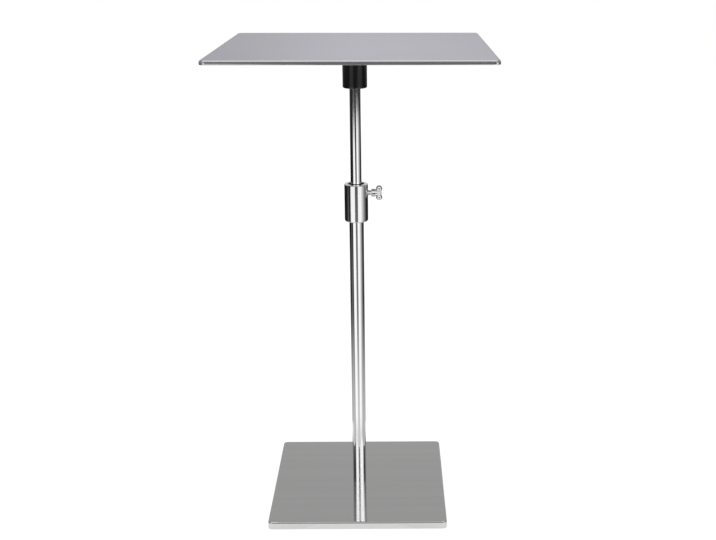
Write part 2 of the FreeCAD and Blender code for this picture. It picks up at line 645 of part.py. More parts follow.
# Every feature has to stand before anything is written
doc.recompute()
for item in doc.Objects:
    if "Invalid" in item.State or "Error" in item.State:
        raise RuntimeError(f"{item.Name} failed: {item.State}")
for body in sub_parts:
    if body.Shape.isNull() or not body.Shape.isValid() or len(body.Shape.Solids) != 1:
        raise RuntimeError(f"{body.Label} is not one valid solid")

os.makedirs("parts", exist_ok=True)
for body in sub_parts:
    body.Shape.exportStep(f"parts/{body.Label}.step")
    box = body.Shape.BoundBox
    print(f"{body.Label}: {body.Shape.Volume:.1f} mm3, z {box.ZMin:.2f} to {box.ZMax:.2f}")
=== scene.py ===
import math

import bmesh
import bpy
from mathutils import Matrix, Vector


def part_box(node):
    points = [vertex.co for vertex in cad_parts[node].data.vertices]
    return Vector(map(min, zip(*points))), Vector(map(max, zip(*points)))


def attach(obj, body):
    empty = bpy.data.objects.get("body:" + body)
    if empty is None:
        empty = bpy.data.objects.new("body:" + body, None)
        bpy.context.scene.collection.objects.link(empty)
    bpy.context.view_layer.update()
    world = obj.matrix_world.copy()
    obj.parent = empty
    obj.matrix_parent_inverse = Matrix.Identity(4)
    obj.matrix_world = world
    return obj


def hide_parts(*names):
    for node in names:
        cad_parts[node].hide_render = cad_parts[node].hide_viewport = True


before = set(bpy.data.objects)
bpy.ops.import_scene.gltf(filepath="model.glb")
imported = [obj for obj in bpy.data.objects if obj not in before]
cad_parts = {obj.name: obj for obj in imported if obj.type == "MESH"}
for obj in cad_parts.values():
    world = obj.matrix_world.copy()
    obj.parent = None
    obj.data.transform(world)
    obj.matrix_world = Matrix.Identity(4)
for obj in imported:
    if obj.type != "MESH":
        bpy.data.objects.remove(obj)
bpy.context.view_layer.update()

# Base shell: the flat square pan that the table stands on.
# Stainless sheet, brushed from side to side and buffed until it mirrors the column,
# with its four sides pressed down over small bends and rounded corners.


def add_node(tree, kind, inputs=None, **settings):
    """One shader node; inputs are numbers, colours or the outputs of other nodes."""
    node = tree.nodes.new(kind)
    for key, value in settings.items():
        setattr(node, key, value)
    for key, value in (inputs or {}).items():
        if isinstance(value, bpy.types.NodeSocket):
            tree.links.new(value, node.inputs[key])
        else:
            node.inputs[key].default_value = value
    return node


def noise_in(tree, place, size, detail=2.0, roughness=0.5):
    """Soft mottling at a given size, from 0 to 1."""
    node = add_node(tree, "ShaderNodeTexNoise", {
        "Vector": place, "Scale": size, "Detail": detail, "Roughness": roughness,
    })
    return node.outputs["Fac"]


def remap(tree, value, low, high, to_low=0.0, to_high=1.0):
    """Stretch the span low to high of a value onto another span."""
    node = add_node(tree, "ShaderNodeMapRange", {
        "Value": value, "From Min": low, "From Max": high, "To Min": to_low, "To Max": to_high,
    })
    return node.outputs["Result"]


def figure(tree, operation, first, second):
    """Plain arithmetic on two values."""
    node = add_node(tree, "ShaderNodeMath", {0: first, 1: second}, operation=operation)
    return node.outputs["Value"]


def blend_colours(tree, amount, first, second):
    """From the first colour to the second as the amount goes from 0 to 1."""
    node = add_node(tree, "ShaderNodeMix", data_type="RGBA")
    for socket, value in ((node.inputs[0], amount), (node.inputs[6], first), (node.inputs[7], second)):
        if isinstance(value, bpy.types.NodeSocket):
            tree.links.new(value, socket)
        else:
            socket.default_value = value
    return node.outputs[2]


def start_group(name, inputs, outputs):
    """An empty shader group with named sockets."""
    tree = bpy.data.node_groups.new(name, "ShaderNodeTree")
    for socket, kind in inputs.items():
        tree.interface.new_socket(socket, in_out="INPUT", socket_type=kind)
    for socket in outputs:
        tree.interface.new_socket(socket, in_out="OUTPUT", socket_type="NodeSocketFloat")
    entry = tree.nodes.new("NodeGroupInput")
    exit_node = tree.nodes.new("NodeGroupOutput")
    return tree, entry.outputs, exit_node.inputs


def make_tool_marks():
    """Fine lines left by brushing or turning, drawn out along the tool's path."""
    tree, given, result = start_group(
        "tool_marks", {"Place": "NodeSocketVector", "Stretch": "NodeSocketVector"}, ("Lines", "Bands"))
    drawn = add_node(tree, "ShaderNodeVectorMath", {
        0: given["Place"], 1: given["Stretch"],
    }, operation="MULTIPLY").outputs["Vector"]
    lines = noise_in(tree, drawn, 1.0, detail=3.0, roughness=0.65)
    bands = noise_in(tree, drawn, 0.06, detail=1.0)
    tree.links.new(remap(tree, lines, 0.3, 0.7), result["Lines"])
    tree.links.new(remap(tree, bands, 0.35, 0.65), result["Bands"])
    return tree


def make_handling_marks():
    """Cloudy smears and small specks from being wiped and picked up."""
    tree, given, result = start_group(
        "handling_marks", {"Place": "NodeSocketVector"}, ("Smears", "Specks"))
    broad = noise_in(tree, given["Place"], 14.0, detail=4.0, roughness=0.6)
    fine = noise_in(tree, given["Place"], 95.0, detail=3.0, roughness=0.6)
    smears = figure(tree, "MULTIPLY", remap(tree, broad, 0.46, 0.68), remap(tree, fine, 0.3, 0.75))
    specks = noise_in(tree, given["Place"], 900.0, detail=1.0)
    tree.links.new(smears, result["Smears"])
    tree.links.new(remap(tree, specks, 0.7, 0.8), result["Specks"])
    return tree


def make_edge_rub():
    """Edges rubbed by use: where a rounded copy of the surface turns away from it."""
    tree, given, result = start_group(
        "edge_rub", {"Place": "NodeSocketVector", "Width": "NodeSocketFloat"}, ("Edge",))
    rounded = add_node(tree, "ShaderNodeBevel", {"Radius": given["Width"]}, samples=4)
    surface = add_node(tree, "ShaderNodeNewGeometry")
    turned = add_node(tree, "ShaderNodeVectorMath", {
        0: rounded.outputs["Normal"], 1: surface.outputs["Normal"],
    }, operation="DOT_PRODUCT")
    blotches = noise_in(tree, given["Place"], 240.0, detail=3.0)
    patches = remap(tree, blotches, 0.3, 0.65, to_low=0.35, to_high=1.0)
    edge = remap(tree, turned.outputs["Value"], 0.995, 0.85)
    tree.links.new(figure(tree, "MULTIPLY", edge, patches), result["Edge"])
    return tree


tool_marks = make_tool_marks()
handling_marks = make_handling_marks()
edge_rub = make_edge_rub()


def start_finish(name):
    """An empty material with its shader and the piece's own coordinates."""
    material = bpy.data.materials.new(name)
    material.use_nodes = True
    tree = material.node_tree
    place = add_node(tree, "ShaderNodeTexCoord").outputs["Object"]
    return material, tree, tree.nodes["Principled BSDF"].inputs, place


def place_group(tree, group, place):
    """One of the shared groups, set at the piece's own coordinates."""
    node = add_node(tree, "ShaderNodeGroup", node_tree=group)
    tree.links.new(place, node.inputs["Place"])
    return node


def blend_values(tree, share, first, second):
    """The first value, with a share of the second in its stead."""
    kept = figure(tree, "MULTIPLY", first, 1 - share)
    return figure(tree, "ADD", kept, figure(tree, "MULTIPLY", second, share))


def metal_finish(name, colour, worn_colour, gloss, stretch, line_depth, spread, spread_along, rub_width):
    """Bare metal: tool marks, smears from handling, and edges rubbed brighter.

    gloss is the least and greatest roughness, spread how much wider the gloss is along spread_along.
    """
    line_shade = 0.94
    line_strength = 0.25
    band_share = 0.3
    smear_share = 0.4
    smear_shade = 0.25
    speck_height = 0.3
    material, tree, shader, place = start_finish(name)
    marks = place_group(tree, tool_marks, place)
    marks.inputs["Stretch"].default_value = stretch
    handled = place_group(tree, handling_marks, place).outputs
    rubbed = place_group(tree, edge_rub, place)
    rubbed.inputs["Width"].default_value = rub_width
    lined = blend_values(tree, band_share, marks.outputs["Lines"], marks.outputs["Bands"])
    darker = [part * line_shade for part in colour[:3]] + [1.0]
    toned = blend_colours(tree, lined, darker, colour)
    smudge = figure(tree, "MULTIPLY", handled["Smears"], smear_shade)
    smeared = blend_colours(tree, smudge, toned, darker)
    tree.links.new(blend_colours(tree, rubbed.outputs["Edge"], smeared, worn_colour), shader["Base Color"])
    dulled = blend_values(tree, smear_share, lined, handled["Smears"])
    tree.links.new(remap(tree, dulled, 0.0, 1.0, *gloss), shader["Roughness"])
    specks = figure(tree, "MULTIPLY", handled["Specks"], speck_height)
    height = figure(tree, "ADD", marks.outputs["Lines"], specks)
    bump = add_node(tree, "ShaderNodeBump", {
        "Height": height, "Strength": line_strength, "Distance": line_depth,
    })
    tree.links.new(bump.outputs["Normal"], shader["Normal"])
    shader["Metallic"].default_value = 1.0
    shader["Anisotropic"].default_value = spread
    along = add_node(tree, "ShaderNodeVectorTransform", {"Vector": spread_along},
                     vector_type="VECTOR", convert_from="OBJECT", convert_to="WORLD")
    tree.links.new(along.outputs["Vector"], shader["Tangent"])
    return material


def dress(material, *names):
    """Give CAD pieces their finish."""
    for name in names:
        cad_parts[name].material_slots[0].material = material


ACROSS_GRAIN = (0.0, 1.0, 0.02)
base_steel = metal_finish(
    "base_steel", (0.605, 0.605, 0.60, 1.0), (0.73, 0.73, 0.725, 1.0),
    gloss=(0.07, 0.13), stretch=(14.0, 1500.0, 1500.0), line_depth=0.000004,
    spread=0.85, spread_along=ACROSS_GRAIN, rub_width=0.0006)
dress(base_steel, "base_shell")

# Ballast plate: the steel slab that fills the pan and keeps the table from tipping.
# Sawn from bar and dipped in black paint, it shows only from below.


def moulded_finish(name, colour, worn_colour, gloss, skin_size, skin_depth, rub_width, edge_share):
    """Plastic, rubber or paint: a fine grained skin, smears, and edges worn paler."""
    skin_shade = 0.8
    skin_strength = 0.5
    smear_share = 0.5
    speck_height = 0.4
    material, tree, shader, place = start_finish(name)
    handled = place_group(tree, handling_marks, place).outputs
    rubbed = place_group(tree, edge_rub, place)
    rubbed.inputs["Width"].default_value = rub_width
    skin = noise_in(tree, place, skin_size, detail=3.0, roughness=0.6)
    darker = [part * skin_shade for part in colour[:3]] + [1.0]
    toned = blend_colours(tree, remap(tree, skin, 0.35, 0.65), darker, colour)
    worn = figure(tree, "MULTIPLY", rubbed.outputs["Edge"], edge_share)
    tree.links.new(blend_colours(tree, worn, toned, worn_colour), shader["Base Color"])
    dulled = blend_values(tree, smear_share, skin, handled["Smears"])
    tree.links.new(remap(tree, dulled, 0.0, 1.0, *gloss), shader["Roughness"])
    height = figure(tree, "ADD", skin, figure(tree, "MULTIPLY", handled["Specks"], speck_height))
    bump = add_node(tree, "ShaderNodeBump", {
        "Height": height, "Strength": skin_strength, "Distance": skin_depth,
    })
    tree.links.new(bump.outputs["Normal"], shader["Normal"])
    return material


ballast_paint = moulded_finish(
    "ballast_paint", (0.035, 0.035, 0.037, 1.0), (0.22, 0.22, 0.22, 1.0),
    gloss=(0.35, 0.55), skin_size=420.0, skin_depth=0.00012, rub_width=0.0005, edge_share=0.6)
dress(ballast_paint, "ballast_plate")

# Feet: four stick-on discs that hold the ballast plate off the counter.
# Stamped from matt black rubber sheet with a closed, slightly pebbled skin.

foot_rubber = moulded_finish(
    "foot_rubber_sheet", (0.03, 0.03, 0.03, 1.0), (0.09, 0.09, 0.09, 1.0),
    gloss=(0.6, 0.85), skin_size=1800.0, skin_depth=0.00008, rub_width=0.0003, edge_share=0.5)
dress(foot_rubber, "foot_front_left", "foot_front_right", "foot_back_left", "foot_back_right")

# Column bolt and foot plug: the countersunk bolt that draws the column down on the base,
# and the threaded slug in the tube's foot that it screws into.
# Both are turned steel with bright zinc plating.

ALONG_COLUMN = (0.03, 0.02, 1.0)
zinc_plate = metal_finish(
    "zinc_plate", (0.56, 0.565, 0.57, 1.0), (0.68, 0.68, 0.67, 1.0),
    gloss=(0.26, 0.42), stretch=(160.0, 160.0, 900.0), line_depth=0.000012,
    spread=0.2, spread_along=ALONG_COLUMN, rub_width=0.0003)
dress(zinc_plate, "column_bolt", "foot_plug")

# Lower tube: the column's fixed outer tube.
# Drawn stainless tube, belt polished round and round, so that reflections run down its length.

tube_steel = metal_finish(
    "tube_steel", (0.66, 0.66, 0.665, 1.0), (0.74, 0.74, 0.74, 1.0),
    gloss=(0.06, 0.11), stretch=(45.0, 45.0, 1700.0), line_depth=0.000003,
    spread=0.5, spread_along=ALONG_COLUMN, rub_width=0.0003)
dress(tube_steel, "lower_tube")

# Clamp collar: the sleeve on top of the lower tube that carries the thumb screw.
# Turned from bar and polished, rounded below and bevelled above.

collar_steel = metal_finish(
    "collar_steel", (0.66, 0.66, 0.66, 1.0), (0.74, 0.74, 0.74, 1.0),
    gloss=(0.1, 0.17), stretch=(30.0, 30.0, 2100.0), line_depth=0.000005,
    spread=0.85, spread_along=ALONG_COLUMN, rub_width=0.0004)
dress(collar_steel, "clamp_collar")

# Collar grub screw: pins the collar to the lower tube from behind.
# A plated set screw with a hexagon socket, sunk below the collar's skin.

dress(zinc_plate, "collar_grub")

# Collar bush: the black ring in the collar's mouth that guides the upper tube.
# Turned from matt nylon and pressed in.

black_nylon = moulded_finish(
    "black_nylon_bush", (0.018, 0.018, 0.018, 1.0), (0.06, 0.06, 0.06, 1.0),
    gloss=(0.45, 0.65), skin_size=1500.0, skin_depth=0.00003, rub_width=0.0003, edge_share=0.5)
dress(black_nylon, "collar_bush")

# Clamp shoe: the small pad on the thumb screw's tip that presses on the upper tube.
# Turned brass, hollowed to the tube.

shoe_brass = metal_finish(
    "turned_brass", (0.72, 0.54, 0.25, 1.0), (0.84, 0.68, 0.38, 1.0),
    gloss=(0.22, 0.36), stretch=(1500.0, 120.0, 120.0), line_depth=0.000008,
    spread=0.3, spread_along=(1.0, 0.02, 0.03), rub_width=0.0002)
dress(shoe_brass, "clamp_shoe")

# Thumb screw: shank with a cut thread, round shoulder, and a thin waisted head with two bulging lobes.
# Cast and turned in one piece, then chromed; its tip is bored for the stem of the shoe.

screw_low, screw_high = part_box("thumb_screw")
SCREW_HEIGHT = (screw_low.z + screw_high.z) / 2
THREAD_CREST = 0.0030
THREAD_ROOT = 0.00242
THREAD_PITCH = 0.001
THREAD_RELIEF = 0.0006
STEM_BORE = 0.00128
BORE_DEPTH = 0.003
SHOULDER_FACE = 0.0166
SHOULDER_RADIUS = 0.0043
SHOULDER_LENGTH = 0.0048
SHOULDER_ROUND = 0.0009
SHOULDER_EDGE = 0.00027
BOSS_RADIUS = 0.0034
BOSS_END_RADIUS = 0.0028
BOSS_LENGTH = 0.0056
BOSS_EDGE = 0.0006
LOBE_RADIUS = 0.0035
LOBE_OFFSET = 0.00485
LOBE_LEVEL = 0.0039
WAIST_RADIUS = 0.016
LOBE_BULGE = 0.0031
WEB_INSET = 0.0004
WEB_HALF_THICK = 0.0014
WEB_ROUND = 0.0011
screw_tip = screw_low.x
head_foot = SHOULDER_FACE + SHOULDER_LENGTH


def mesh_piece(name, points, faces):
    """A new object from points and faces, with its faces turned outwards."""
    mesh = bpy.data.meshes.new(name)
    mesh.from_pydata(points, [], faces)
    shape = bmesh.new()
    shape.from_mesh(mesh)
    bmesh.ops.remove_doubles(shape, verts=shape.verts, dist=1e-7)
    bmesh.ops.recalc_face_normals(shape, faces=shape.faces)
    shape.to_mesh(mesh)
    shape.free()
    piece = bpy.data.objects.new(name, mesh)
    bpy.context.scene.collection.objects.link(piece)
    return piece


def ring_faces(rows, around):
    """Four-sided faces between neighbouring rings of points."""
    faces = []
    for row in range(rows - 1):
        for step in range(around):
            after = (step + 1) % around
            faces.append((row * around + step, row * around + after,
                          (row + 1) * around + after, (row + 1) * around + step))
    return faces


def threaded_shank():
    """The turned part: stem bore, thread as a true helix, shoulder and boss."""
    around = 48
    steps_a_pitch = 10
    round_steps = 6
    edge_steps = 4
    flank_slope = 1.5
    root_flat = 0.2
    bore_end = screw_tip + BORE_DEPTH
    thread_end = SHOULDER_FACE - THREAD_RELIEF
    boss_end = head_foot + BOSS_LENGTH
    rings = [(0.0, bore_end, 0), (STEM_BORE, bore_end, 0), (STEM_BORE, screw_tip, 0)]
    turns = (thread_end - screw_tip) / THREAD_PITCH
    for step in range(int(turns * steps_a_pitch) + 1):
        rings.append((THREAD_ROOT, screw_tip + step * THREAD_PITCH / steps_a_pitch, 1))
    rings.append((THREAD_ROOT, SHOULDER_FACE, 0))
    for part in range(round_steps + 1):
        angle = math.pi / 2 * part / round_steps
        rings.append((SHOULDER_RADIUS - SHOULDER_ROUND * (1 - math.sin(angle)),
                      SHOULDER_FACE + SHOULDER_ROUND * (1 - math.cos(angle)), 0))
    for part in range(edge_steps + 1):
        angle = math.pi / 2 * part / edge_steps
        rings.append((SHOULDER_RADIUS - SHOULDER_EDGE * (1 - math.cos(angle)),
                      head_foot - SHOULDER_EDGE * (1 - math.sin(angle)), 0))
    rings.append((BOSS_RADIUS, head_foot, 0))
    for part in range(edge_steps + 1):
        angle = math.pi / 2 * part / edge_steps
        rings.append((BOSS_END_RADIUS - BOSS_EDGE * (1 - math.cos(angle)),
                      boss_end - BOSS_EDGE * (1 - math.sin(angle)), 0))
    rings.append((0.0, boss_end, 0))
    points = []
    for radius, reach, cut in rings:
        for step in range(around):
            angle = 2 * math.pi * step / around
            grown = radius
            if cut:
                phase = ((reach - screw_tip) / THREAD_PITCH - step / around) % 1.0
                rise = min(1.0, max(0.0, (1 - abs(2 * phase - 1)) * flank_slope - root_flat))
                runout = min(1.0, (thread_end - reach) / THREAD_PITCH, (reach - screw_tip) / THREAD_PITCH)
                grown += (THREAD_CREST - THREAD_ROOT) * rise * max(0.0, runout)
            points.append((reach, grown * math.cos(angle), SCREW_HEIGHT + grown * math.sin(angle)))
    return mesh_piece("screw_shank", points, ring_faces(len(rings), around))


def waisted_web():
    """The head's thin middle: round ends joined by hollow waists, with softly rounded edges."""
    arc_steps = 20
    edge_steps = 14
    middle = head_foot + LOBE_LEVEL
    end_radius = LOBE_RADIUS - WEB_INSET
    rise = math.sqrt((end_radius + WAIST_RADIUS) ** 2 - LOBE_OFFSET ** 2)
    lean = math.atan2(rise, LOBE_OFFSET)
    rings = []
    for part in range(edge_steps + 1):
        angle = math.pi * part / edge_steps
        face = -math.cos(angle)
        thick = face * WEB_ROUND + math.copysign(WEB_HALF_THICK - WEB_ROUND, face)
        rings.append((WEB_ROUND * (1 - math.sin(angle)), thick))
    points = []
    for inset, thick in rings:
        end = end_radius - inset
        waist = WAIST_RADIUS + inset
        outline = []
        for side in (1, -1):
            for step in range(arc_steps):
                angle = 2 * lean * (step / arc_steps) - lean
                outline.append((side * (LOBE_OFFSET + end * math.cos(angle)),
                                side * end * math.sin(angle)))
            for step in range(arc_steps):
                angle = lean + (math.pi - 2 * lean) * (step / arc_steps)
                outline.append((side * waist * math.cos(angle), side * (rise - waist * math.sin(angle))))
        points += [(middle + up, thick, SCREW_HEIGHT + across) for across, up in outline]
    around = 4 * arc_steps
    faces = ring_faces(len(rings), around)
    faces.append(tuple(range(around)))
    faces.append(tuple(range((len(rings) - 1) * around, len(rings) * around)))
    return mesh_piece("screw_web", points, faces)


def bulging_lobe(side):
    """One lobe of the head: a round pebble with a small flat on each face."""
    around = 40
    rows = 17
    middle = head_foot + LOBE_LEVEL
    points = []
    for row in range(rows):
        tilt = math.pi * (row / (rows - 1) - 0.5)
        radius = LOBE_RADIUS - LOBE_BULGE * (1 - math.cos(tilt))
        for step in range(around):
            angle = 2 * math.pi * step / around
            points.append((middle + radius * math.cos(angle), LOBE_BULGE * math.sin(tilt),
                           SCREW_HEIGHT + side * LOBE_OFFSET + radius * math.sin(angle)))
    faces = ring_faces(rows, around)
    faces.append(tuple(range(around)))
    faces.append(tuple(range((rows - 1) * around, rows * around)))
    return mesh_piece("screw_lobe", points, faces)


def fuse(name, first, *others):
    """One clean piece from several that overlap."""
    for other in others:
        union = first.modifiers.new("union", "BOOLEAN")
        union.operation = "UNION"
        union.solver = "EXACT"
        union.object = other
    graph = bpy.context.evaluated_depsgraph_get()
    mesh = bpy.data.meshes.new_from_object(first.evaluated_get(graph))
    for part in (first, *others):
        bpy.data.objects.remove(part)
    piece = bpy.data.objects.new(name, mesh)
    bpy.context.scene.collection.objects.link(piece)
    return piece


def smooth_by_angle(piece, degrees):
    """Smooth shading that keeps true corners."""
    mesh = piece.data
    mesh.polygons.foreach_set("use_smooth", [True] * len(mesh.polygons))
    mesh.set_sharp_from_angle(angle=math.radians(degrees))


screw_chrome = metal_finish(
    "screw_chrome", (0.66, 0.66, 0.665, 1.0), (0.74, 0.74, 0.74, 1.0),
    gloss=(0.1, 0.2), stretch=(260.0, 260.0, 260.0), line_depth=0.000004,
    spread=0.0, spread_along=ALONG_COLUMN, rub_width=0.0003)
SCREW_CORNER = 38
threaded_screw = fuse(
    "threaded_screw", threaded_shank(), waisted_web(), bulging_lobe(1), bulging_lobe(-1))
smooth_by_angle(threaded_screw, SCREW_CORNER)
threaded_screw.data.materials.clear()
threaded_screw.data.materials.append(screw_chrome)
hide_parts("thumb_screw")
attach(threaded_screw, "screw")

# Upper tube: slides up and down in the collar's bush and turns in it.
# Thinner tube of the same belt polished stainless.

dress(tube_steel, "upper_tube")

# Guide plug and guide ring: keep the upper tube's foot centred in the lower tube.
# Turned from natural nylon; the ring runs on the bore, the plug's flange holds it on.

white_nylon = moulded_finish(
    "white_nylon_guide", (0.8, 0.79, 0.75, 1.0), (0.88, 0.87, 0.84, 1.0),
    gloss=(0.4, 0.6), skin_size=900.0, skin_depth=0.00003, rub_width=0.0003, edge_share=0.4)
dress(white_nylon, "guide_plug", "guide_ring")

# Tube nut: threaded slug in the upper tube's head that takes the stud of the top.
# Turned steel, zinc plated like the other slug.

dress(zinc_plate, "tube_nut")

# Top socket: the black cup under the table top that takes the upper tube.
# Moulded in half-gloss black plastic with a rounded lower edge.

socket_plastic = moulded_finish(
    "socket_plastic", (0.003, 0.003, 0.003, 1.0), (0.015, 0.015, 0.015, 1.0),
    gloss=(0.15, 0.24), skin_size=1300.0, skin_depth=0.00001, rub_width=0.0005, edge_share=0.5)
dress(socket_plastic, "top_socket")

# Top stud and mounting plate: the stud screws into the tube nut, the plate stiffens the sheet above it.
# Zinc-plated steel, welded together; four shallow dents with a heat stain round them
# show where the plate is spot-welded to the sheet.

dress(zinc_plate, "top_stud")
WELD_OFFSET = 0.044
WELD_RADIUS = 0.0030
WELD_FLOOR = 0.0018
WELD_DEPTH = 0.0002
HEAT_STAIN = (0.25, 0.24, 0.25, 1.0)
STAIN_REACH = (0.006, 0.0027)
STAIN_DEPTH = 0.8
welded_plate = zinc_plate.copy()
welded_plate.name = "welded_plate"
tree = welded_plate.node_tree
shader = tree.nodes["Principled BSDF"].inputs
plate_place = add_node(tree, "ShaderNodeTexCoord").outputs["Object"]
place = add_node(tree, "ShaderNodeSeparateXYZ", {0: plate_place}).outputs
across = figure(tree, "SUBTRACT", figure(tree, "ABSOLUTE", place["X"], 0.0), WELD_OFFSET)
along = figure(tree, "SUBTRACT", figure(tree, "ABSOLUTE", place["Y"], 0.0), WELD_OFFSET)
squares = figure(tree, "ADD", figure(tree, "MULTIPLY", across, across),
                 figure(tree, "MULTIPLY", along, along))
from_weld = figure(tree, "SQRT", squares, 0.0)
dent = remap(tree, from_weld, WELD_RADIUS, WELD_FLOOR)
stain = remap(tree, from_weld, *STAIN_REACH, 0.0, STAIN_DEPTH)
plate_colour = shader["Base Color"].links[0].from_socket
plate_grain = shader["Normal"].links[0].from_socket
tree.links.new(blend_colours(tree, stain, plate_colour, HEAT_STAIN), shader["Base Color"])
pressed = add_node(tree, "ShaderNodeBump", {
    "Height": dent, "Strength": 1.0, "Distance": WELD_DEPTH, "Normal": plate_grain,
}, invert=True)
tree.links.new(pressed.outputs["Normal"], shader["Normal"])
dress(welded_plate, "mounting_plate")

# Table top: square sheet with its rim folded down and turned in.
# Stainless, brushed from side to side to an even satin;
# its downward faces are painted darker, as painted shade, and made rougher.

top_steel = metal_finish(
    "top_steel", (0.625, 0.62, 0.65, 1.0), (0.74, 0.74, 0.76, 1.0),
    gloss=(0.14, 0.2), stretch=(14.0, 1500.0, 1500.0), line_depth=0.000004,
    spread=0.8, spread_along=ACROSS_GRAIN, rub_width=0.0006)
GLANCING_TINT = (0.94, 0.94, 1.0, 1.0)
# Painted shade: the darker colour given to the top's downward faces, standing in for the shade under it.
UNDERSIDE_PAINTED_SHADE = (0.4, 0.4, 0.41, 1.0)
UNDERSIDE_ROUGHNESS = 0.35
FACING_DOWN = (-0.3, -0.7)
tree = top_steel.node_tree
shader = tree.nodes["Principled BSDF"].inputs
shader["Specular Tint"].default_value = GLANCING_TINT
# Mask of downward faces: painted shade in the colour, and more roughness.
facing = add_node(tree, "ShaderNodeTexCoord").outputs["Normal"]
underside_painted_shade_mask = remap(tree, add_node(tree, "ShaderNodeSeparateXYZ", {0: facing}).outputs["Z"], *FACING_DOWN)
face_colour = shader["Base Color"].links[0].from_socket
face_roughness = shader["Roughness"].links[0].from_socket
tree.links.new(blend_colours(tree, underside_painted_shade_mask, face_colour, UNDERSIDE_PAINTED_SHADE), shader["Base Color"])
rougher = figure(tree, "MULTIPLY", underside_painted_shade_mask, UNDERSIDE_ROUGHNESS)
tree.links.new(figure(tree, "MAXIMUM", face_roughness, rougher), shader["Roughness"])
dress(top_steel, "table_top")

# Studio: a white floor and room, and the lamps.
# Round the table lie lit sheets on a dark carpet, with a lit wall in front and a grey room behind,
# which show only as reflections in the metal.

WHITE = (1.0, 1.0, 1.0, 1.0)
ROOM_LIGHT = 0.55
FLOOR_REACH = 4.0
FLOOR_LEVEL = -0.0002
FLOOR_GLOW = 0.82
FLOOR_TONE = (0.4, 0.4, 0.4, 1.0)
FLOOR_BOUNCE = (0.75, 0.75, 0.75, 1.0)
SECOND_MIRROR_DEPTH = 1.5


def seen_or_mirrored(tree):
    """1 for what the camera sees itself, in a mirror or through glass."""
    path = add_node(tree, "ShaderNodeLightPath").outputs
    first = figure(tree, "MAXIMUM", path["Is Camera Ray"], path["Is Glossy Ray"])
    return figure(tree, "MAXIMUM", first, path["Is Transmission Ray"])


def white_room():
    """White all round to the eye, and an even soft light on the table."""
    world = bpy.data.worlds.new("white_room")
    world.use_nodes = True
    tree = world.node_tree
    tree.nodes.clear()
    seen = add_node(tree, "ShaderNodeBackground", {"Color": WHITE, "Strength": 1.0})
    light = add_node(tree, "ShaderNodeBackground", {"Color": WHITE, "Strength": ROOM_LIGHT})
    both = add_node(tree, "ShaderNodeMixShader", {
        0: seen_or_mirrored(tree), 1: light.outputs[0], 2: seen.outputs[0],
    })
    add_node(tree, "ShaderNodeOutputWorld", {"Surface": both.outputs[0]})
    bpy.context.scene.world = world


def white_floor():
    """Floor that looks white, keeps a faint shadow, and can't be seen from below."""
    corners = ((-1, -1), (1, -1), (1, 1), (-1, 1))
    points = [(x * FLOOR_REACH, y * FLOOR_REACH, FLOOR_LEVEL) for x, y in corners]
    floor = mesh_piece("floor", points, [(0, 1, 2, 3)])
    material = bpy.data.materials.new("white_floor")
    material.use_nodes = True
    tree = material.node_tree
    tree.nodes.clear()
    shade = add_node(tree, "ShaderNodeBsdfDiffuse", {"Color": FLOOR_TONE})
    glow = add_node(tree, "ShaderNodeEmission", {"Color": WHITE, "Strength": FLOOR_GLOW})
    lit = add_node(tree, "ShaderNodeAddShader", {0: shade.outputs[0], 1: glow.outputs[0]})
    plain = add_node(tree, "ShaderNodeBsdfDiffuse", {"Color": FLOOR_BOUNCE})
    above = add_node(tree, "ShaderNodeMixShader", {
        0: seen_or_mirrored(tree), 1: plain.outputs[0], 2: lit.outputs[0],
    })
    clear = add_node(tree, "ShaderNodeBsdfTransparent")
    side = add_node(tree, "ShaderNodeNewGeometry").outputs["Backfacing"]
    both = add_node(tree, "ShaderNodeMixShader", {0: side, 1: above.outputs[0], 2: clear.outputs[0]})
    add_node(tree, "ShaderNodeOutputMaterial", {"Surface": both.outputs[0]})
    floor.data.materials.append(material)


def swept_card(name, path, start, stop, steps):
    """A card bent round the table: path holds distances and heights, start and stop are degrees."""
    points = []
    for step in range(steps + 1):
        angle = math.radians(start + (stop - start) * step / steps)
        points += [(far * math.sin(angle), -far * math.cos(angle), height) for far, height in path]
    count = len(path)
    faces = []
    for step in range(steps):
        for row in range(count - 1):
            faces.append((step * count + row, (step + 1) * count + row,
                          (step + 1) * count + row + 1, step * count + row + 1))
    card = bpy.data.objects.new(name, bpy.data.meshes.new(name))
    card.data.from_pydata(points, [], faces)
    bpy.context.scene.collection.objects.link(card)
    card.visible_camera = False
    card.visible_diffuse = False
    card.visible_shadow = False
    return card


def glowing(card, make_level, twice_mirrored=False, shown_to=None):
    """A card that gives off the level worked out from its place.

    One kind shows only in light that is mirrored twice, another only in the piece that it is shown to.
    """
    material = bpy.data.materials.new(card.name)
    material.use_nodes = True
    tree = material.node_tree
    tree.nodes.clear()
    where = add_node(tree, "ShaderNodeTexCoord").outputs["Object"]
    place = add_node(tree, "ShaderNodeSeparateXYZ", {0: where}).outputs
    level = make_level(tree, place)
    glow = add_node(tree, "ShaderNodeEmission", {"Color": WHITE, "Strength": level}).outputs[0]
    if twice_mirrored:
        depth = add_node(tree, "ShaderNodeLightPath").outputs["Ray Depth"]
        second = figure(tree, "GREATER_THAN", depth, SECOND_MIRROR_DEPTH)
        clear = add_node(tree, "ShaderNodeBsdfTransparent").outputs[0]
        glow = add_node(tree, "ShaderNodeMixShader", {0: second, 1: clear, 2: glow}).outputs[0]
    if shown_to:
        clear = add_node(tree, "ShaderNodeBsdfTransparent").outputs[0]
        glow = add_node(tree, "ShaderNodeAddShader", {0: glow, 1: clear}).outputs[0]
        alone = bpy.data.collections.new(card.name)
        alone.objects.link(shown_to)
        card.light_linking.receiver_collection = alone
    add_node(tree, "ShaderNodeOutputMaterial", {"Surface": glow})
    card.data.materials.append(material)


def smooth_step(tree, value, low, high, to_low, to_high):
    """Like remap, with soft ends."""
    node = add_node(tree, "ShaderNodeMapRange", {
        "Value": value, "From Min": low, "From Max": high, "To Min": to_low, "To Max": to_high,
    }, interpolation_type="SMOOTHSTEP")
    return node.outputs["Result"]


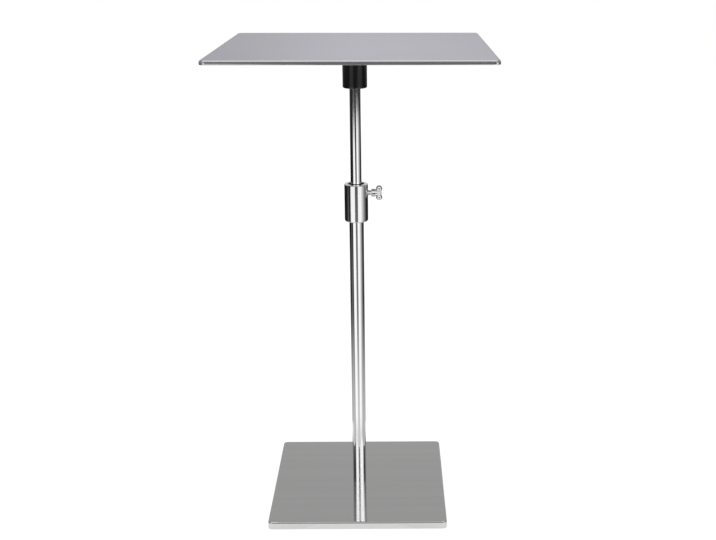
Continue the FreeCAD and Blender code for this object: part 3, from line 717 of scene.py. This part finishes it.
def distance(tree, place):
    """Distance from the column, along the floor."""
    squares = [figure(tree, "POWER", place[axis], 2.0) for axis in ("X", "Y")]
    return figure(tree, "SQRT", figure(tree, "ADD", *squares), 0.0)


def bearing(tree, place):
    """Degrees round the column from the front, to the right."""
    ahead = figure(tree, "MULTIPLY", place["Y"], -1.0)
    return figure(tree, "DEGREES", figure(tree, "ARCTAN2", place["X"], ahead), 0.0)


def band(tree, value, start, stop, soft_start, soft_stop):
    """1 between start and stop, falling off softly inside each end."""
    rising = smooth_step(tree, value, start, start + soft_start, 0.0, 1.0)
    falling = smooth_step(tree, value, stop - soft_stop, stop, 1.0, 0.0)
    return figure(tree, "MULTIPLY", rising, falling)


# Names in SPAN hold degrees from the front, names in REACH and HEIGHT metres, names in LEVEL brightness.
# Two numbers are the start and end of a change; four are a band's start, stop and soft ends.
CARPET_PALE_REACH = (0.15, 0.7)
CARPET_PALE_LEVEL = 0.63
CARPET_DARK_REACH = (0.85, 1.2)
CARPET_DARK_LEVELS = (0.06, 0.012)
CARPET_BACK_REACH = (1.2, 2.6)
CARPET_BACK_LEVEL = 0.25
CARPET_EDGE_HEIGHT = (0.0, 0.1)
CARPET_EDGE_REACH = (1.6, 3.2)
CARPET_EDGE_LEVELS = (0.12, 0.25)


def carpet_level(tree, place):
    """Pale close to the table, dark further away, dim far behind it and up its turned edge."""
    far = distance(tree, place)
    close = smooth_step(tree, far, *CARPET_PALE_REACH, CARPET_PALE_LEVEL, 0.0)
    beyond = smooth_step(tree, far, *CARPET_DARK_REACH, *CARPET_DARK_LEVELS)
    behind = smooth_step(tree, place["Y"], *CARPET_BACK_REACH, 0.0, CARPET_BACK_LEVEL)
    outward = figure(tree, "ABSOLUTE", place["X"], 0.0)
    aside = smooth_step(tree, outward, *CARPET_EDGE_REACH, *CARPET_EDGE_LEVELS)
    turned_up = smooth_step(tree, place["Z"], *CARPET_EDGE_HEIGHT, 0.0, 1.0)
    edge = figure(tree, "MULTIPLY", turned_up, aside)
    return figure(tree, "ADD", figure(tree, "ADD", close, beyond), figure(tree, "MAXIMUM", behind, edge))


LEFT_SHEET_SPAN = (-60, -9, 10, 5)
LEFT_SHEET_REACH = (2.0, 3.1)
RIGHT_SHEET_SPAN = (14, 20)
RIGHT_FADE_SPAN = (45, 124)
RIGHT_SHEET_REACH = (2.4, 3.2)
SHEET_NEAR_REACH = (0.12, 0.22)
SHEET_LEVELS = (1.05, 1.5)
SHEET_GAP_SPAN = (-24, 28, 8, 8)
SHEET_GAP_LEVEL = 0.2
SHEET_SIDE_SPAN = (-97, -72, 10, 10)
SHEET_SIDE_LEVEL = 0.16
DIM_REACH = (1.4, 1.75)
DIM_LEFT_OVER = 0.2


def sheet_level(tree, place):
    """Lit floor in front: a sheet on the left, a gap, and a sheet on the right that fades round the side."""
    turn = bearing(tree, place)
    far = distance(tree, place)
    left_end = smooth_step(tree, far, *LEFT_SHEET_REACH, 1.0, 0.0)
    left = figure(tree, "MULTIPLY", band(tree, turn, *LEFT_SHEET_SPAN), left_end)
    fade = figure(tree, "POWER", remap(tree, turn, *RIGHT_FADE_SPAN, 1.0, 0.0), 2.0)
    faded = figure(tree, "MULTIPLY", fade, smooth_step(tree, far, *RIGHT_SHEET_REACH, 1.0, 0.0))
    right = figure(tree, "MULTIPLY", smooth_step(tree, turn, *RIGHT_SHEET_SPAN, 0.0, 1.0), faded)
    bright = smooth_step(tree, far, *SHEET_NEAR_REACH, *SHEET_LEVELS)
    sheets = figure(tree, "MULTIPLY", figure(tree, "ADD", left, right), bright)
    near = smooth_step(tree, far, *DIM_REACH, 1.0, DIM_LEFT_OVER)
    gap = figure(tree, "MULTIPLY", band(tree, turn, *SHEET_GAP_SPAN), SHEET_GAP_LEVEL)
    side = figure(tree, "MULTIPLY", band(tree, turn, *SHEET_SIDE_SPAN), SHEET_SIDE_LEVEL)
    dim = figure(tree, "MULTIPLY", figure(tree, "ADD", gap, side), near)
    return figure(tree, "MAXIMUM", sheets, figure(tree, "ADD", dim, carpet_level(tree, place)))


LEFT_STRIP_SPAN = (-50, -12, 10, 6)
RIGHT_STRIP_SPAN = (26, 84, 12, 26)
STRIP_LEVEL = 1.6
STRIP_GAP_SPAN = (-22, 16, 8, 8)
STRIP_GAP_LEVEL = 0.42


def strip_level(tree, place):
    """Two low strips beyond the far end of the lit floor, with a dim stretch between them."""
    turn = bearing(tree, place)
    strips = figure(tree, "ADD", band(tree, turn, *LEFT_STRIP_SPAN), band(tree, turn, *RIGHT_STRIP_SPAN))
    dim = figure(tree, "MULTIPLY", band(tree, turn, *STRIP_GAP_SPAN), STRIP_GAP_LEVEL)
    return figure(tree, "MAXIMUM", figure(tree, "MULTIPLY", strips, STRIP_LEVEL), dim)


WALL_SPAN = (-62, 82, 14, 22)
WALL_UPPER_SPAN = (-78, 112, 18, 36)
WALL_UPPER_HEIGHT = (0.86, 1.0)
WALL_FADE_HEIGHT = (1.02, 1.25)
WALL_LEVELS = (2.4, 1.2)
WALL_GAP_SPAN = (-17, 20, 8, 8)
WALL_UPPER_GAP_SPAN = (-34, 34, 14, 14)
WALL_UPPER_GAP_HEIGHT = (1.0, 1.15)
WINDOW_HEIGHT = (0.86, 1.12, 0.14, 0.08)
WALL_FOOT_HEIGHT = (0.74, 0.85)
WALL_FOOT_SHARE = 0.5
WALL_GAP_LOSS = (-2.4, -0.8)
WALL_GAP_LEVELS = (0.06, 0.5)


def wall_level(tree, place):
    """Wall in front: two bright sheets, and a dark gap between them with a window in it beside the camera."""
    turn = bearing(tree, place)
    height = place["Z"]
    window = band(tree, height, *WINDOW_HEIGHT)
    foot = smooth_step(tree, height, *WALL_FOOT_HEIGHT, WALL_FOOT_SHARE, 0.0)
    clear = figure(tree, "ADD", window, foot)
    raised = smooth_step(tree, height, *WALL_UPPER_HEIGHT, 0.0, 1.0)
    broad = figure(tree, "MULTIPLY", band(tree, turn, *WALL_UPPER_SPAN), raised)
    width = figure(tree, "MAXIMUM", band(tree, turn, *WALL_SPAN), broad)
    sheets = figure(tree, "MULTIPLY", width, smooth_step(tree, height, *WALL_FADE_HEIGHT, *WALL_LEVELS))
    upper = smooth_step(tree, height, *WALL_UPPER_GAP_HEIGHT, 0.0, 1.0)
    high = figure(tree, "MULTIPLY", band(tree, turn, *WALL_UPPER_GAP_SPAN), upper)
    between = figure(tree, "MAXIMUM", band(tree, turn, *WALL_GAP_SPAN), high)
    gap = figure(tree, "MULTIPLY", between, remap(tree, clear, 0.0, 1.0, *WALL_GAP_LOSS))
    least = remap(tree, clear, 0.0, 1.0, *WALL_GAP_LEVELS)
    return figure(tree, "MAXIMUM", figure(tree, "ADD", sheets, gap), least)


SCREW_CARD_HEIGHT = (0.5, 0.62)
SCREW_CARD_LEVEL = 1.4


def screw_card_level(tree, place):
    """Bright card over the camera that only the thumb screw mirrors, soft at its lower edge."""
    return smooth_step(tree, place["Z"], *SCREW_CARD_HEIGHT, 0.0, SCREW_CARD_LEVEL)


ROOM_REACH = (-0.6, 2.6)
ROOM_LEVELS = (0.25, 0.5)
GLOW_HEIGHT = (0.75, 1.7, 0.35, 0.6)
GLOW_BACK_REACH = (2.6, 3.4)
GLOW_LEFT_REACH = (-0.85, -0.05)
GLOW_LEVELS = (0.05, 0.34)
GLOW_RIGHT_REACH = (0.1, 0.6)
GLOW_RIGHT_LOSS = -0.12
FRONT_GAP_SPAN = (-24, 26, 8, 8)
FRONT_LEVEL = 0.3
FRONT_REACH = (-1.8, -0.6)
CEILING_HEIGHT = (3.1, 3.5)
CEILING_LEVEL = 1.2


def room_level(tree, place):
    """Grey room: paler behind the table, palest low down there, lit from the ceiling and front corners."""
    back = smooth_step(tree, place["Y"], *ROOM_REACH, *ROOM_LEVELS)
    low = figure(tree, "MULTIPLY", band(tree, place["Z"], *GLOW_HEIGHT),
                 smooth_step(tree, place["Y"], *GLOW_BACK_REACH, 0.0, 1.0))
    middle = figure(tree, "ADD", smooth_step(tree, place["X"], *GLOW_LEFT_REACH, *GLOW_LEVELS),
                    remap(tree, place["X"], *GLOW_RIGHT_REACH, 0.0, GLOW_RIGHT_LOSS))
    in_gap = band(tree, bearing(tree, place), *FRONT_GAP_SPAN)
    aside = remap(tree, in_gap, 0.0, 1.0, FRONT_LEVEL, 0.0)
    front = figure(tree, "MULTIPLY", smooth_step(tree, place["Y"], *FRONT_REACH, 1.0, 0.0), aside)
    ceiling = smooth_step(tree, place["Z"], *CEILING_HEIGHT, 0.0, CEILING_LEVEL)
    lit = figure(tree, "MAXIMUM", figure(tree, "ADD", back, front), ceiling)
    return figure(tree, "ADD", lit, figure(tree, "MULTIPLY", low, middle))


CARPET_LIFT = 0.0006
CARPET_RINGS = (0.18, 0.4, 0.8, 3.55)
CARPET_RISE = 0.45
SHEET_LIFT = 0.0012
SHEET_RINGS = (0.118, 0.5, 1.2, 3.3)
STRIP_PATH = [(3.5, 0.12), (3.5, 0.4)]
WALL_PATH = [(1.6, 0.6), (1.6, 1.8)]
SCREW_CARD_PATH = [(0.9, 0.5), (0.9, 1.3)]
DOME_RADIUS = 3.6
DOME_FOOT = 0.40
DOME_STEP = 6
white_room()
white_floor()
carpet_path = [(far, CARPET_LIFT) for far in CARPET_RINGS]
carpet_path.append((CARPET_RINGS[-1], CARPET_RISE))
sheet_path = [(far, SHEET_LIFT) for far in SHEET_RINGS]
tilts = [math.radians(tilt) for tilt in range(0, 90 + 1, DOME_STEP)]
dome_path = [(DOME_RADIUS * math.cos(tilt), DOME_FOOT + DOME_RADIUS * math.sin(tilt)) for tilt in tilts]
screw_card = swept_card("screw_card", SCREW_CARD_PATH, start=-40, stop=50, steps=30)
carpet = swept_card("carpet", carpet_path, start=-180, stop=180, steps=72)
lit_floor = swept_card("lit_floor", sheet_path, start=-100, stop=126, steps=113)
low_strips = swept_card("low_strips", STRIP_PATH, start=-62, stop=100, steps=81)
lit_wall = swept_card("lit_wall", WALL_PATH, start=-120, stop=120, steps=120)
grey_room = swept_card("grey_room", dome_path, start=-180, stop=180, steps=72)
glowing(screw_card, screw_card_level, shown_to=threaded_screw)
glowing(carpet, carpet_level)
glowing(lit_floor, sheet_level)
glowing(low_strips, strip_level)
glowing(lit_wall, wall_level, twice_mirrored=True)
glowing(grey_room, room_level)

LAMP_POWER = 9.0
LAMP_SIZE = 1.0
LAMP_ASIDE = 1.1
LAMP_FRONT = -1.3
LAMP_HEIGHT = 1.4
LAMP_AIM = Vector((0.0, 0.0, 0.25))
for name, side in (("lamp_left", -1), ("lamp_right", 1)):
    lamp = bpy.data.lights.new(name, "AREA")
    lamp.energy = LAMP_POWER
    lamp.size = LAMP_SIZE
    stand = bpy.data.objects.new(name, lamp)
    stand.location = (side * LAMP_ASIDE, LAMP_FRONT, LAMP_HEIGHT)
    stand.rotation_euler = (LAMP_AIM - stand.location).to_track_quat("-Z", "Y").to_euler()
    stand.visible_glossy = False
    stand.visible_camera = False
    bpy.context.scene.collection.objects.link(stand)

# Camera: in front of the table and a little above its top, tilted down as in the photograph,
# which was cut from a wider picture, so that the lens axis lies right of its middle.

IMAGE_WIDTH = 716
FOCAL_PIXELS = 1076.6
AXIS_PIXELS = 399.65
EYE = Vector((0.03625, -1.15896, 0.63872))
TURN = 0.0101
DIP = 0.3064
right = Vector((math.cos(TURN), -math.sin(TURN), 0.0))
forward = Vector((math.sin(TURN) * math.cos(DIP), math.cos(TURN) * math.cos(DIP), -math.sin(DIP)))
up = right.cross(forward)
lens = bpy.data.cameras.new("camera")
lens.sensor_fit = "HORIZONTAL"
lens.sensor_width = 36.0
lens.lens = FOCAL_PIXELS / IMAGE_WIDTH * lens.sensor_width
lens.shift_x = 0.5 - AXIS_PIXELS / IMAGE_WIDTH
camera = bpy.data.objects.new("camera", lens)
camera.matrix_world = Matrix.Translation(EYE) @ Matrix((right, up, -forward)).transposed().to_4x4()
bpy.context.scene.collection.objects.link(camera)
bpy.context.scene.camera = camera
bpy.context.scene.view_settings.view_transform = "Standard"

bpy.context.view_layer.update()
